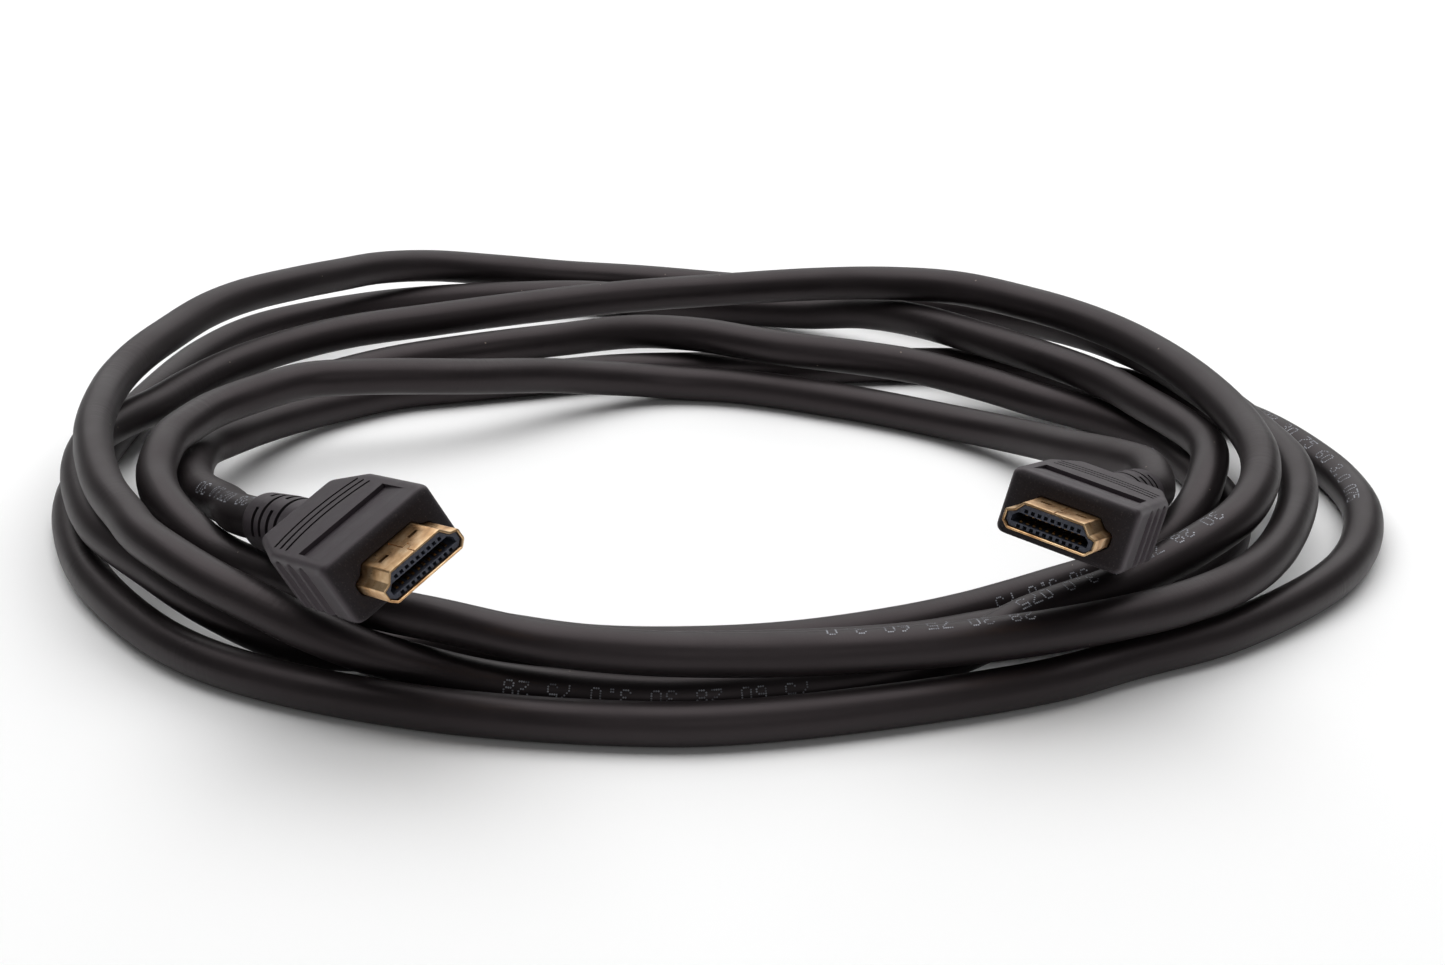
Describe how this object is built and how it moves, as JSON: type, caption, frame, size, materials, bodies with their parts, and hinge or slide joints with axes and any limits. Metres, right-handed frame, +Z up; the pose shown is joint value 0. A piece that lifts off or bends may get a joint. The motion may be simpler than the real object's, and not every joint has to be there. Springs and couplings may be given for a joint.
{
  "type": "hdmi cable",
  "caption": "Round black display cable lying in loose turns, with a moulded plug and gold-plated flat shell at each end.",
  "frame": {"origin": "middle of the footprint, on the surface that the cable lies on", "axes": "+Z up from that surface, +X along the long way of the turns, the plugs face -Y"},
  "size_m": [0.2298, 0.2104, 0.0394],
  "materials": {
    "jacket": "satin flexible PVC, faintly grained",
    "moulding": "satin moulded PVC, fine spark-eroded grain",
    "gold_plate": "thin gold plate over formed steel, lightly brushed",
    "insulator": "plain moulded",
    "contact_gold": "gold-plated strip"
  },
  "bodies": {
    "root": {"cable": "jacket", "plug_a_body": "moulding", "plug_a_shell": "gold_plate", "plug_a_insulator": "insulator", "plug_a_contacts_upper": "contact_gold", "plug_a_contacts_lower": "contact_gold", "plug_b_body": "moulding", "plug_b_shell": "gold_plate", "plug_b_insulator": "insulator", "plug_b_contacts_upper": "contact_gold", "plug_b_contacts_lower": "contact_gold"}
  },
  "joints": []
}
